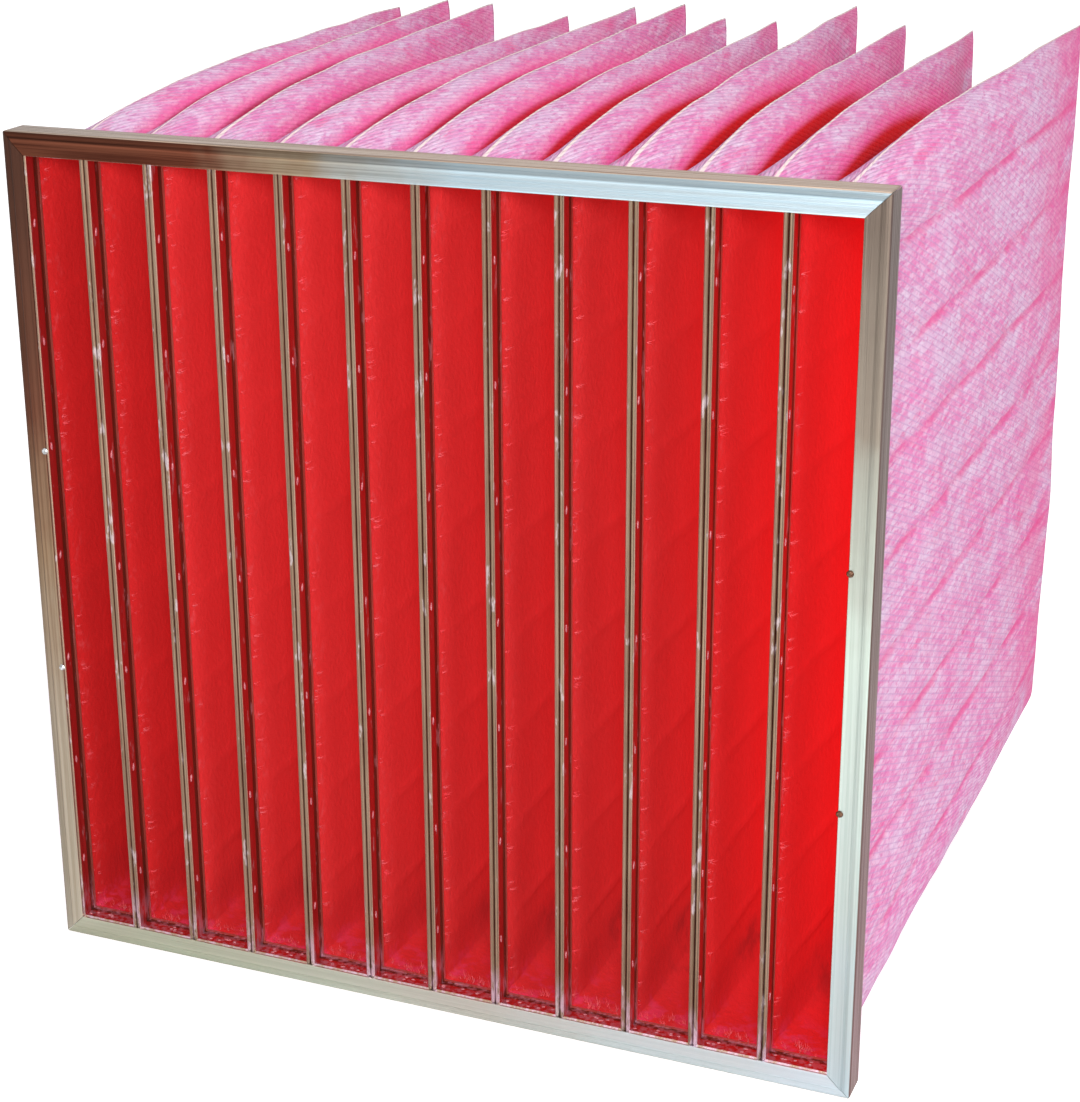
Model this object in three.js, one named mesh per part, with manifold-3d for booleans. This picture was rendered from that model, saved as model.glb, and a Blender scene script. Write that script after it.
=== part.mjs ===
// Bag air filter with twelve pockets, in millimetres, +Z up.
// Air enters the open mouths at -Y and leaves through the pockets towards +Y.
// The origin is on the header's underside, midway along it and midway through its depth.
import * as THREE from "three";
import { mergeVertices } from "three/addons/utils/BufferGeometryUtils.js";
import Module from "manifold-3d";

const wasm = await Module();
wasm.setup();

// Clearance between pieces that are seated on each other.
const SEAT = 0.3;

// Header: four roll-formed channels, open inwards, mitred at the corners.
const FACE = 592;
const HEADER_DEPTH = 25;
const HEADER_SHEET = 1;
const HEADER_BEND = 1.6;
const CORNER_ROUND = 2;
const LIP_WIDTH = 15.3;
const LIP_BAND = 5.5;
const LIP_STEP = 0.8;
const LIP_STEP_RUN = 1.2;
const RETURN_LENGTH = 11;

// Pocket frames: folded sheet channels round each mouth, side by side inside the header.
const POCKET_COUNT = 12;
const LIP_OVERLAP = 2.2;
const FRAME_GAP = 0.4;
const FRAME_SHEET = 0.5;
const CHANNEL_WIDTH = 3;
const CHANNEL_DEPTH = 16;
const CHANNEL_BEND = 0.8;
const BEAD_AT = 12.6;
const BEAD_DEPTH = 0.5;
const BEAD_HALF_WIDTH = 1.4;

// Pockets: sewn bags of lofted medium, clamped in the channels and closed to a flat far edge.
const POCKET_DEPTH = 600;
const MEDIUM = 2.2;
const HEM_SET_BACK = 1.6;
const TAPER_POWER = 1.2;
const HOLLOW_END = 0.85;
const END_SEAM = 12;
const END_THICKNESS = 3.2;
const RIDGE_RISE = 28;
const RIDGE_RUN = 110;
const KEEL_DROP = 9;
const KEEL_RUN = 40;
const KEEL_LIFT = 23;
const SHOULDER_RUN = 40;
const SHOULDER_IN = 0.24;
const SHOULDER_DOWN = 0.3;
const SEAM_PITCH = 68.3;
const SEAM_LIFT = 11;
const SEAM_DEPTH = 1.2;

// How far each pocket's far edge leans sideways, and how far it hangs or stands.
const LEANS = [-42, -41, -46, -22, -9, -12, -24, -25, -8, -13, -4, 32];
const LIFTS = [-9, -2, -3, -11, -1, 3, -7, -8, 7, -6, -8, 0];

// Rivets that hold the outer pocket frames to the header's front lip, by height.
const LEFT_RIVETS = [214, 374];
const RIGHT_RIVETS = [203, 362];
const RIVET_HEAD_RADIUS = 2.4;
const RIVET_HEAD_HEIGHT = 1.3;
const RIVET_SHANK_RADIUS = 0.8;
const RIVET_GRIP = 1.2;

// Places that the sizes above give, measured from the header's front face.
const FRONT = -HEADER_DEPTH / 2;
const PACK_INSET = LIP_WIDTH - LIP_OVERLAP;
const PACK_WIDTH = FACE - 2 * PACK_INSET;
const PITCH = (PACK_WIDTH + FRAME_GAP) / POCKET_COUNT;
const FRAME_WIDTH = PITCH - FRAME_GAP;
const FRAME_HEIGHT = FACE - 2 * PACK_INSET;
const FRAME_FRONT = HEADER_SHEET + SEAT;
const FRAME_REAR = FRAME_FRONT + CHANNEL_DEPTH;
const HEM_FRONT = FRAME_FRONT + FRAME_SHEET + HEM_SET_BACK;
const HEM_OUT = FRAME_SHEET + SEAT;
const HEM_IN = CHANNEL_WIDTH - FRAME_SHEET - BEAD_DEPTH - SEAT;
const BAG_START = Math.max(HEADER_DEPTH, FRAME_REAR + SEAT);
const BAG_END = HEADER_DEPTH + POCKET_DEPTH;
const SEAM_COUNT = Math.floor(FRAME_HEIGHT / SEAM_PITCH);
const RIVET_INSET = PACK_INSET + CHANNEL_WIDTH / 2;

const header = new THREE.MeshStandardMaterial({ color: 0xbfc4bd, roughness: 0.35, metalness: 0.9 });
const channel = new THREE.MeshStandardMaterial({ color: 0xb9aaa0, roughness: 0.35, metalness: 0.85 });
const medium = new THREE.MeshStandardMaterial({ color: 0xe79cc3, roughness: 0.95, metalness: 0 });
const rivet = new THREE.MeshStandardMaterial({ color: 0xd6d9dc, roughness: 0.3, metalness: 0.9 });

// Collects the triangles of one closed body.
class Surface {
  corners = [];

  triangle(a, b, c) {
    for (const p of [a, b, c]) this.corners.push(p.x, p.y, p.z);
  }

  // Joins two rings of equal length, which run anticlockwise seen from the second one.
  band(first, second) {
    first.forEach((a, i) => {
      const next = (i + 1) % first.length;
      this.triangle(a, first[next], second[next]);
      this.triangle(a, second[next], second[i]);
    });
  }

  // Fills a flat loop and its holes. The two named axes give its plane, seen from the side
  // where the first runs right and the second up; turned gives the other side.
  fill(loops, across, up, turned = false) {
    const flat = loops.map((loop) => loop.map((p) => new THREE.Vector2(p[across], p[up])));
    const points = loops.flat();
    for (const [i, j, k] of THREE.ShapeUtils.triangulateShape(flat[0], flat.slice(1))) {
      if (turned) this.triangle(points[i], points[k], points[j]);
      else this.triangle(points[i], points[j], points[k]);
    }
  }

  geometry() {
    const made = new THREE.BufferGeometry();
    made.setAttribute("position", new THREE.Float32BufferAttribute(this.corners, 3));
    made.computeVertexNormals();
    return made;
  }
}

// The centre line of a folded sheet through its corners, each with its own bend length.
function foldedLine(corners, bends) {
  const line = new THREE.Path();
  line.moveTo(corners[0].x, corners[0].y);
  for (let i = 1; i < corners.length - 1; i += 1) {
    const here = corners[i];
    const start = corners[i - 1].clone().sub(here).setLength(bends[i - 1]).add(here);
    const end = corners[i + 1].clone().sub(here).setLength(bends[i - 1]).add(here);
    line.lineTo(start.x, start.y);
    if (bends[i - 1] > 0) line.quadraticCurveTo(here.x, here.y, end.x, end.y);
  }
  const last = corners[corners.length - 1];
  line.lineTo(last.x, last.y);
  return line;
}

// The outline of a sheet of even thickness along a centre line, anticlockwise.
function sheetOutline(points, thickness) {
  const sides = [[], []];
  points.forEach((p, i) => {
    const before = points[Math.max(i - 1, 0)];
    const after = points[Math.min(i + 1, points.length - 1)];
    const into = (i > 0 ? p.clone().sub(before) : after.clone().sub(p)).normalize();
    const out = (i < points.length - 1 ? after.clone().sub(p) : p.clone().sub(before)).normalize();
    const normal = new THREE.Vector2(-into.y, into.x);
    const mitre = new THREE.Vector2(-into.y - out.y, into.x + out.x).normalize();
    mitre.multiplyScalar(thickness / 2 / mitre.dot(normal));
    sides[0].push(p.clone().add(mitre));
    sides[1].push(p.clone().sub(mitre));
  });
  const outline = sides[0].concat(sides[1].reverse());
  return THREE.ShapeUtils.isClockWise(outline) ? outline.reverse() : outline;
}

// A closed geometry as a solid for cutting, and a solid back as a geometry.
function solidOf(geometry) {
  const bare = geometry.clone();
  bare.deleteAttribute("normal");
  bare.deleteAttribute("uv");
  const merged = mergeVertices(bare, 1e-4);
  return new wasm.Manifold(
    new wasm.Mesh({
      numProp: 3,
      vertProperties: merged.attributes.position.array,
      triVerts: new Uint32Array(merged.index.array),
    }),
  );
}

function geometryOf(solid) {
  const mesh = solid.getMesh();
  const made = new THREE.BufferGeometry();
  made.setAttribute("position", new THREE.BufferAttribute(mesh.vertProperties, 3));
  made.setIndex(new THREE.BufferAttribute(mesh.triVerts, 1));
  return made;
}

// A round cutter along Y for a rivet, from one depth behind the header's front to another.
function rivetHole(x, from, to, z) {
  const radius = RIVET_SHANK_RADIUS + SEAT;
  const hole = new THREE.CylinderGeometry(radius, radius, to - from, 8);
  hole.translate(x, FRONT + (from + to) / 2, z);
  return solidOf(hole);
}

// Header channel in section: x runs back from the front face, y outwards from the outer face.
function headerSection() {
  const half = HEADER_SHEET / 2;
  const rearReturn = PACK_INSET - SEAT - half;
  const corners = [
    new THREE.Vector2(half, -LIP_WIDTH),
    new THREE.Vector2(half, -LIP_BAND - LIP_STEP_RUN),
    new THREE.Vector2(half + LIP_STEP, -LIP_BAND),
    new THREE.Vector2(half + LIP_STEP, -half),
    new THREE.Vector2(HEADER_DEPTH - half, -half),
    new THREE.Vector2(HEADER_DEPTH - half, -rearReturn),
    new THREE.Vector2(HEADER_DEPTH - RETURN_LENGTH, -rearReturn),
  ];
  const line = foldedLine(corners, [0, 0, HEADER_BEND, HEADER_BEND, HEADER_BEND]);
  return sheetOutline(line.getPoints(2), HEADER_SHEET);
}

// The round-cornered block that holds the whole header, with its top face at z = 0.
function headerBlock() {
  const half = FACE / 2;
  const straight = half - CORNER_ROUND;
  const square = new THREE.Shape();
  square.absarc(straight, straight, CORNER_ROUND, 0, Math.PI / 2);
  square.absarc(-straight, straight, CORNER_ROUND, Math.PI / 2, Math.PI);
  square.absarc(-straight, -straight, CORNER_ROUND, Math.PI, Math.PI * 1.5);
  square.absarc(straight, -straight, CORNER_ROUND, Math.PI * 1.5, Math.PI * 2);
  const depth = HEADER_DEPTH * 2;
  const block = new THREE.ExtrudeGeometry(square, { depth, bevelEnabled: false, curveSegments: 3 });
  block.translate(0, 0, -depth / 2);
  block.rotateX(Math.PI / 2);
  block.translate(0, 0, -half);
  return solidOf(block);
}

// One header member along X, with its outer face at z = 0 and 45 degree mitres at both ends.
// The rivets are given by their distance from its middle, along +X.
function headerMember(name, rivets) {
  const setBack = SEAT / Math.SQRT2;
  const section = headerSection();
  const end = (side) =>
    section.map((p) => new THREE.Vector3(side * (FACE / 2 + p.y - setBack), FRONT + p.x, p.y));
  const surface = new Surface();
  surface.band(end(-1), end(1));
  surface.fill([end(1)], "y", "z");
  surface.fill([end(-1)], "y", "z", true);
  let solid = solidOf(surface.geometry()).intersect(headerBlock());
  for (const along of rivets) {
    solid = solid.subtract(rivetHole(along, -HEADER_SHEET, 2 * HEADER_SHEET, -RIVET_INSET));
  }
  const mesh = new THREE.Mesh(geometryOf(solid), header);
  mesh.name = name;
  return mesh;
}

function placeHeader(group) {
  const middle = FACE / 2;
  const top = headerMember("header_top", []);
  top.position.z = FACE;
  const bottom = headerMember("header_bottom", []);
  bottom.rotation.y = Math.PI;
  const right = headerMember("header_right", RIGHT_RIVETS.map((z) => middle - z));
  right.rotation.y = Math.PI / 2;
  right.position.set(middle, 0, middle);
  const left = headerMember("header_left", LEFT_RIVETS.map((z) => z - middle));
  left.rotation.y = -Math.PI / 2;
  left.position.set(-middle, 0, middle);
  group.add(top, bottom, left, right);
}

// Pocket frame channel in section: x runs back from its nose, y inwards to the mouth is negative.
function channelSection() {
  const half = FRAME_SHEET / 2;
  const inner = CHANNEL_WIDTH - half;
  const corners = [
    new THREE.Vector2(CHANNEL_DEPTH, -half),
    new THREE.Vector2(half, -half),
    new THREE.Vector2(half, -inner),
    new THREE.Vector2(BEAD_AT - BEAD_HALF_WIDTH, -inner),
    new THREE.Vector2(BEAD_AT, BEAD_DEPTH - inner),
    new THREE.Vector2(BEAD_AT + BEAD_HALF_WIDTH, -inner),
    new THREE.Vector2(CHANNEL_DEPTH, -inner),
  ];
  const line = foldedLine(corners, [CHANNEL_BEND, CHANNEL_BEND, 0, 0, 0]);
  return sheetOutline(line.getPoints(1), FRAME_SHEET);
}

// One frame round a mouth, centred on x = 0, folded from a single channel with mitred corners.
function pocketFrame(name, rivets) {
  const section = channelSection();
  const low = PACK_INSET;
  const high = PACK_INSET + FRAME_HEIGHT;
  const corner = (side, top) =>
    section.map((p) => {
      const z = top ? high + p.y : low - p.y;
      return new THREE.Vector3(side * (FRAME_WIDTH / 2 + p.y), FRONT + FRAME_FRONT + p.x, z);
    });
  const rings = [corner(-1, true), corner(1, true), corner(1, false), corner(-1, false)];
  const surface = new Surface();
  rings.forEach((ring, i) => surface.band(ring, rings[(i + 1) % rings.length]));
  let geometry = surface.geometry();
  if (rivets.length > 0) {
    let solid = solidOf(geometry);
    const rear = FRAME_FRONT + FRAME_SHEET + SEAT;
    for (const [x, z] of rivets) solid = solid.subtract(rivetHole(x, FRAME_FRONT - SEAT, rear, z));
    geometry = geometryOf(solid);
  }
  const mesh = new THREE.Mesh(geometry, channel);
  mesh.name = name;
  return mesh;
}

// How a pocket's section changes from its mouth, at 0, to its far edge, at 1.
function pocketSection(along, lift) {
  const run = along * (BAG_END - END_SEAM - BAG_START);
  const thinnest = END_THICKNESS / 2;
  const widest = FRAME_WIDTH / 2 - HEM_OUT;
  const ridge = RIDGE_RISE * (1 - Math.exp(-run / RIDGE_RUN));
  const keel = KEEL_LIFT * along - KEEL_DROP * (1 - Math.exp(-run / KEEL_RUN));
  return {
    halfWidth: thinnest + (widest - thinnest) * (1 - along ** TAPER_POWER),
    top: FACE - PACK_INSET - HEM_OUT + ridge + lift * along,
    bottom: PACK_INSET + HEM_OUT + keel + lift * along,
    shoulder: 1 - Math.exp(-run / SHOULDER_RUN),
  };
}

// Heights of the spacer seams, from the top one down.
function seamHeights() {
  const highest = FACE / 2 + SEAM_LIFT + ((SEAM_COUNT - 1) / 2) * SEAM_PITCH;
  return Array.from({ length: SEAM_COUNT }, (_, k) => highest - k * SEAM_PITCH);
}

// A ring round the pocket from its half outline, which runs from the top seam down its +X side.
function ringOf(halfOutline, centre, y) {
  const right = halfOutline.map(([x, z]) => new THREE.Vector3(centre + x, FRONT + y, z));
  const inner = halfOutline.slice(1, -1).reverse();
  const left = inner.map(([x, z]) => new THREE.Vector3(centre - x, FRONT + y, z));
  return right.concat(left);
}

// The outside of the section: ridge, shoulder, a wall pinched at each seam, shoulder, keel.
function outerHalf(section) {
  const { halfWidth, top, bottom, shoulder } = section;
  const seams = seamHeights();
  const bays = [top, ...seams, bottom];
  const middles = bays.slice(1).map((z, k) => (z + bays[k]) / 2);
  const turn = halfWidth * (1 - SHOULDER_IN * shoulder);
  const half = [[0, top], [turn, top - SHOULDER_DOWN * shoulder * (top - middles[0])]];
  middles.forEach((z, k) => {
    half.push([halfWidth, z]);
    const pinch = Math.min(SEAM_DEPTH * shoulder, halfWidth / 2);
    if (k < SEAM_COUNT) half.push([halfWidth - pinch, seams[k]]);
  });
  const lowest = middles[middles.length - 1];
  half.push([turn, bottom + SHOULDER_DOWN * shoulder * (lowest - bottom)], [0, bottom]);
  return half;
}

// The inside of the section, one wall thickness in from the outside.
function innerHalf(section, wall) {
  const { halfWidth, top, bottom, shoulder } = section;
  const seams = seamHeights();
  const topBay = (top - seams[0]) / 2;
  const bottomBay = (seams[SEAM_COUNT - 1] - bottom) / 2;
  const turn = halfWidth * (1 - SHOULDER_IN * shoulder) - wall;
  return [
    [0, top - wall],
    [turn, top - wall - SHOULDER_DOWN * shoulder * topBay],
    [halfWidth - wall, top - topBay - wall],
    [halfWidth - wall, bottom + bottomBay + wall],
    [turn, bottom + wall + SHOULDER_DOWN * shoulder * bottomBay],
    [0, bottom + wall],
  ];
}

// A pocket is one bag: hem in the channel, tapering walls, flat far edge, open at its mouth.
function pocket(name, lean, lift) {
  const outerStations = [0, 0.07, 0.2, 0.42, 0.7, 1];
  const innerStations = [0, 0.07, 0.42, 0.7, HOLLOW_END];
  const bagRun = BAG_END - END_SEAM - BAG_START;
  const place = (along) => BAG_START + along * bagRun;
  const outerAt = (along) => ringOf(outerHalf(pocketSection(along, lift)), lean * along, place(along));
  const innerAt = (along) => {
    const wall = along > 0 ? MEDIUM : HEM_IN - HEM_OUT;
    return ringOf(innerHalf(pocketSection(along, lift), wall), lean * along, place(along));
  };
  const forwards = (ring, y) => ring.map((p) => new THREE.Vector3(p.x, FRONT + y, p.z));
  const backEdge = forwards(outerAt(1), BAG_END);
  const outer = [forwards(outerAt(0), HEM_FRONT), ...outerStations.map(outerAt), backEdge];
  const inner = [forwards(innerAt(0), HEM_FRONT), ...innerStations.map(innerAt)];
  const surface = new Surface();
  surface.fill([outer[0], inner[0]], "x", "z");
  for (let i = 1; i < outer.length; i += 1) surface.band(outer[i - 1], outer[i]);
  for (let i = 1; i < inner.length; i += 1) surface.band(inner[i], inner[i - 1]);
  surface.fill([outer[outer.length - 1]], "x", "z", true);
  surface.fill([inner[inner.length - 1]], "x", "z");
  const mesh = new THREE.Mesh(surface.geometry(), medium);
  mesh.name = name;
  return mesh;
}

// A dome-headed rivet along Y, with the underside of its head at y = 0.
function headerRivet(name) {
  const profile = [];
  for (let i = 0; i <= 2; i += 1) {
    const angle = (i / 2) * (Math.PI / 2);
    const x = RIVET_HEAD_RADIUS * Math.sin(angle);
    profile.push(new THREE.Vector2(x, -RIVET_HEAD_HEIGHT * Math.cos(angle)));
  }
  const tail = FRAME_FRONT + FRAME_SHEET + RIVET_GRIP + SEAT;
  profile.push(new THREE.Vector2(RIVET_SHANK_RADIUS, 0));
  profile.push(new THREE.Vector2(RIVET_SHANK_RADIUS, tail));
  profile.push(new THREE.Vector2(0, tail));
  const mesh = new THREE.Mesh(new THREE.LatheGeometry(profile, 10), rivet);
  mesh.name = name;
  return mesh;
}

function placeRivets(group) {
  const x = FACE / 2 - RIVET_INSET;
  const places = [
    ...LEFT_RIVETS.map((z) => [-x, z, "left"]),
    ...RIGHT_RIVETS.map((z) => [x, z, "right"]),
  ];
  places.forEach(([across, z, side], i) => {
    const mesh = headerRivet(`rivet_${side}_${(i % 2) + 1}`);
    mesh.position.set(across, FRONT - SEAT, z);
    group.add(mesh);
  });
}

// Rivet places in a frame's own coordinates, for the first and the last frame.
function frameRivets(index) {
  const x = FRAME_WIDTH / 2 - CHANNEL_WIDTH / 2;
  if (index === 0) return LEFT_RIVETS.map((z) => [-x, z]);
  if (index === POCKET_COUNT - 1) return RIGHT_RIVETS.map((z) => [x, z]);
  return [];
}

function placePockets(group) {
  for (let i = 0; i < POCKET_COUNT; i += 1) {
    const number = String(i + 1).padStart(2, "0");
    const centre = (i - (POCKET_COUNT - 1) / 2) * PITCH;
    const lean = LEANS[i % LEANS.length];
    const lift = LIFTS[i % LIFTS.length];
    const frame = pocketFrame(`pocket_frame_${number}`, frameRivets(i));
    const bag = pocket(`pocket_${number}`, lean, lift);
    frame.position.x = centre;
    bag.position.x = centre;
    group.add(frame, bag);
  }
}

const filter = new THREE.Group();
filter.name = "bag_air_filter";
placeHeader(filter);
placePockets(filter);
placeRivets(filter);

export default filter;
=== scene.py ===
"""Looks of a bag air filter: a square steel header with twelve sewn pockets of pink lofted medium."""

import math
import random

import bmesh
import bpy
from mathutils import Matrix, Vector, noise


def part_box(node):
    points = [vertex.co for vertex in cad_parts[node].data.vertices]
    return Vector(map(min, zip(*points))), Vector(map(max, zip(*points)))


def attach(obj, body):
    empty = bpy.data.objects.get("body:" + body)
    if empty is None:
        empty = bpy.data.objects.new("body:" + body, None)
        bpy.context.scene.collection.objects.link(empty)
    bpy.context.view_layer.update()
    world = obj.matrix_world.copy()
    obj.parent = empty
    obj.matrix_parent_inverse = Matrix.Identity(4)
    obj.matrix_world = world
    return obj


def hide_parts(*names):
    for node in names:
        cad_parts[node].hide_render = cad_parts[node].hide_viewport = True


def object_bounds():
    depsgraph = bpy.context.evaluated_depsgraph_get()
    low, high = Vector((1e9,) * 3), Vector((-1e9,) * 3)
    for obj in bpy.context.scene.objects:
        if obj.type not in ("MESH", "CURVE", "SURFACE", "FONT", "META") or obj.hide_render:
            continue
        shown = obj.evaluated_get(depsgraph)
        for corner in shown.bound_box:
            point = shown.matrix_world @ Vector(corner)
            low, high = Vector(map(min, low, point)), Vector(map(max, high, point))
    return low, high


bl_info = {
    "name": "Bag air filter",
    "version": (1, 0, 0),
    "blender": (4, 5, 0),
    "location": "3D View > Sidebar > Bag filter",
    "description": "Builds the pockets, steel finishes, lint and studio of a bag air filter",
    "category": "Object",
}

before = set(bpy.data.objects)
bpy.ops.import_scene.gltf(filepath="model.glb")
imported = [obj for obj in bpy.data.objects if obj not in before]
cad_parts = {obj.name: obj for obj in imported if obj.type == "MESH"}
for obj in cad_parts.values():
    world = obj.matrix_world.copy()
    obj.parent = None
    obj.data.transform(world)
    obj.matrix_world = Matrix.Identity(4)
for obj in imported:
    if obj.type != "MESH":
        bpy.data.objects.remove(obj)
CAD_LOW, CAD_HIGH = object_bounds()
MM = 0.001

FRAME_NODES = sorted(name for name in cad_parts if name.startswith("pocket_frame_"))
POCKET_NODES = sorted(
    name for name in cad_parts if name.startswith("pocket_") and name not in FRAME_NODES
)
RIVET_NODES = sorted(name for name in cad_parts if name.startswith("rivet_"))

# The header's front face and outer box, the pitch of the mouths, and lengths along a pocket.
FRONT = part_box("header_left")[0].y
CAD_HEADER = (
    Vector((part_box("header_left")[0].x, FRONT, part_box("header_bottom")[0].z)),
    Vector((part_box("header_right")[1].x, -FRONT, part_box("header_top")[1].z)),
)
LIP_WIDTH = 15.3 * MM
BAG_START = 25 * MM
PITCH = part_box("pocket_frame_02")[0].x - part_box("pocket_frame_01")[0].x
END_SEAM = 12 * MM
CHANNEL_LEG = 3 * MM

# The clinch marks: seven rows up each leg, and some on the top and bottom strips.
CLINCH_ROWS = range(-3, 4)
CLINCH_PITCH = 78 * MM
CLINCH_BACK = 5.2 * MM
CLINCHES_ACROSS = 6

# The lint: tufts by each side of a mouth, tufts on its bottom, fibres in a tuft.
TUFTS_AT_SIDE = 44
TUFTS_AT_BOTTOM = 16
FIBRES = 7
FIBRE_RADIUS = 0.09 * MM

# The stage, in metres.
FLOOR_RADIUS = 14
FLOOR_GREY = 0.93
FLOOR_LIFT = 0.42
KEY_AT = (0.56, -1.42, 0.98)
KEY_AIM = (0.0, 0.0, 0.3)
KEY_SIZE = 0.5
CAMERA_AT = (0.6006, -1.3019, 0.8608)
CAMERA_AIM = (0.0475, -0.0125, 0.3465)
CAMERA_ROLL = -0.6723
CAMERA_SHIFT = (0.0462, -0.0015)

# Stations of a pocket's mesh: along its length, across its ridge, and down each bay of its walls.
HEM_STATIONS = 3
END_STATIONS = 3
STATIONS = 50
ACROSS = 6
BAYS = 9
BAY_STEPS = (0, 0.05, 0.14, 0.3, 0.5, 0.7, 0.86, 0.95)


def tone(code):
    """A colour as written on a chart, six hexadecimal digits, as linear red, green and blue."""
    parts = [int(code[i : i + 2], 16) / 255 for i in (0, 2, 4)]
    return tuple(c / 12.92 if c <= 0.04045 else ((c + 0.055) / 1.055) ** 2.4 for c in parts)


def colour_property(name, description, code):
    return bpy.props.FloatVectorProperty(
        name=name, description=description, default=tone(code), subtype="COLOR", min=0, max=1
    )


def number_property(name, description, default, unit="NONE", **limits):
    return bpy.props.FloatProperty(
        name=name, description=description, default=default, unit=unit, **limits
    )


def length_property(name, description, millimetres):
    return number_property(name, description, millimetres * MM, "LENGTH", min=0)


class FilterPocketSettings(bpy.types.PropertyGroup):
    medium_thickness: length_property("Medium", "Thickness of the medium behind the hem", 2.0)
    seam_pinch: length_property("Seam pinch", "How far the spacer threads pull in a seam", 1.1)
    bay_puff: length_property("Bay puff", "How far a bay stands out between two seams", 1.4)
    wrinkle: length_property("Wrinkle", "Height of the broad waves in a wall", 1.8)
    outside: colour_property("Outside", "Pink of the medium's clean side", "dc7cb1")
    outside_pale: colour_property("Outside, pale", "White fibre clouds on the clean side", "d2bad4")
    outside_deep: colour_property("Outside, deep", "Pink along the seams and far edges", "e04c8e")
    # The red between pockets is painted shade deep in their gaps.
    between: colour_property("Between pockets", "Red deep between two pockets", "c4141c")
    # The second inside red is the same red with painted light, for the pockets on the right.
    inside: colour_property("Inside", "Red of the medium's dusty side, left pockets", "d83032")
    inside_lit: colour_property("Inside, bright", "The same, right pockets", "e62226")
    lint: colour_property("Lint", "Loose fibres along the hems", "dc666e")


# The header's painted reflection runs through these colours, brown to pale along its members; khaki
# also tints patches on the channels.
class FilterSteelSettings(bpy.types.PropertyGroup):
    pale: colour_property("Pale steel", "Bright zinc", "bccbd2")
    khaki: colour_property("Khaki steel", "Slightly tarnished zinc", "a5937c")
    brown: colour_property("Brown steel", "Tarnished zinc", "7a4633")


class FilterStageSettings(bpy.types.PropertyGroup):
    lens: number_property("Lens", "Focal length on a 36 mm sensor", 76.9, "CAMERA")
    key: number_property("Key light", "Power of the soft lamp by the camera", 30, "POWER")
    side: number_property("Side light", "Strength of the soft light from the right", 1.0)
    back: number_property("Back lights", "Strength of the soft lights from behind", 0.7)
    ambient: number_property("Room light", "Strength of the light from all round", 0.3)


# Mesh helpers.


def deselect_all():
    if bpy.context.mode != "OBJECT":
        bpy.ops.object.mode_set(mode="OBJECT")
    bpy.ops.object.select_all(action="DESELECT")


def only(obj):
    """Makes one object the selected and active one."""
    deselect_all()
    obj.select_set(True)
    bpy.context.view_layer.objects.active = obj


def select_parts(obj, kind, wanted):
    """In edit mode, selects just the parts of one kind that a test wants."""
    modes = {"VERT": (True, False, False), "EDGE": (False, True, False), "FACE": (False, False, True)}
    bpy.context.tool_settings.mesh_select_mode = modes[kind]
    bpy.ops.mesh.select_all(action="DESELECT")
    work = bmesh.from_edit_mesh(obj.data)
    for part in {"VERT": work.verts, "EDGE": work.edges, "FACE": work.faces}[kind]:
        if wanted(part):
            part.select_set(True)
    work.select_flush_mode()
    bmesh.update_edit_mesh(obj.data)


def lies_along(edge, axis):
    line = edge.verts[1].co - edge.verts[0].co
    return abs(line[axis]) > 0.99 * line.length


def own_copy(obj, name):
    made = obj.copy()
    made.data = obj.data.copy()
    made.name = made.data.name = name
    bpy.context.scene.collection.objects.link(made)
    return made


def remove(obj):
    bpy.data.objects.remove(obj, do_unlink=True)


def gathered(pattern, places, name):
    """One object that holds a copy of the pattern's mesh at each place, a 4x4 matrix."""
    work = bmesh.new()
    for turned in places:
        piece = pattern.data.copy()
        piece.transform(turned)
        work.from_mesh(piece)
        bpy.data.meshes.remove(piece)
    mesh = bpy.data.meshes.new(name)
    work.to_mesh(mesh)
    work.free()
    made = bpy.data.objects.new(name, mesh)
    bpy.context.scene.collection.objects.link(made)
    return made


# Material helpers.


def node(tree, kind, values=None, **settings):
    """Adds a node with its settings, and gives its named or numbered inputs values or links."""
    made = tree.nodes.new(kind)
    for name, value in settings.items():
        setattr(made, name, value)
    for key, value in (values or {}).items():
        if isinstance(value, bpy.types.NodeSocket):
            tree.links.new(value, made.inputs[key])
        else:
            made.inputs[key].default_value = value
    return made


def maths(tree, operation, first, second=0.0):
    return node(tree, "ShaderNodeMath", {0: first, 1: second}, operation=operation).outputs[0]


def times(tree, first, second):
    return maths(tree, "MULTIPLY", first, second)


def apart(tree, value, place_at=0.0):
    """How far a value is from a place."""
    off = maths(tree, "SUBTRACT", value, place_at) if place_at else value
    return maths(tree, "ABSOLUTE", off)


def ranged(tree, value, low, high, to_low=0.0, to_high=1.0):
    values = {"Value": value, "From Min": low, "From Max": high, "To Min": to_low, "To Max": to_high}
    made = node(tree, "ShaderNodeMapRange", values, interpolation_type="SMOOTHSTEP")
    return made.outputs["Result"]


def blended(tree, factor, first, second, blend="MIX"):
    made = node(tree, "ShaderNodeMix", data_type="RGBA", blend_type=blend)
    for socket, value in zip((made.inputs[0], made.inputs[6], made.inputs[7]), (factor, first, second)):
        if isinstance(value, bpy.types.NodeSocket):
            tree.links.new(value, socket)
        else:
            socket.default_value = (*value, 1) if hasattr(value, "__len__") else value
    return made.outputs[2]


def group_tree(name, defaults, output):
    """A new shader node group: its tree, what it is given, and where its result goes.

    defaults has a number for each value that it is given, and a tuple or None for a vector.
    """
    tree = bpy.data.node_groups.new(name, "ShaderNodeTree")
    for socket, default in defaults.items():
        kind = "NodeSocketFloat" if isinstance(default, float) else "NodeSocketVector"
        made = tree.interface.new_socket(name=socket, in_out="INPUT", socket_type=kind)
        if default is not None:
            made.default_value = default
    tree.interface.new_socket(name=output, in_out="OUTPUT", socket_type="NodeSocketFloat")
    return tree, node(tree, "NodeGroupInput").outputs, node(tree, "NodeGroupOutput").inputs


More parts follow.
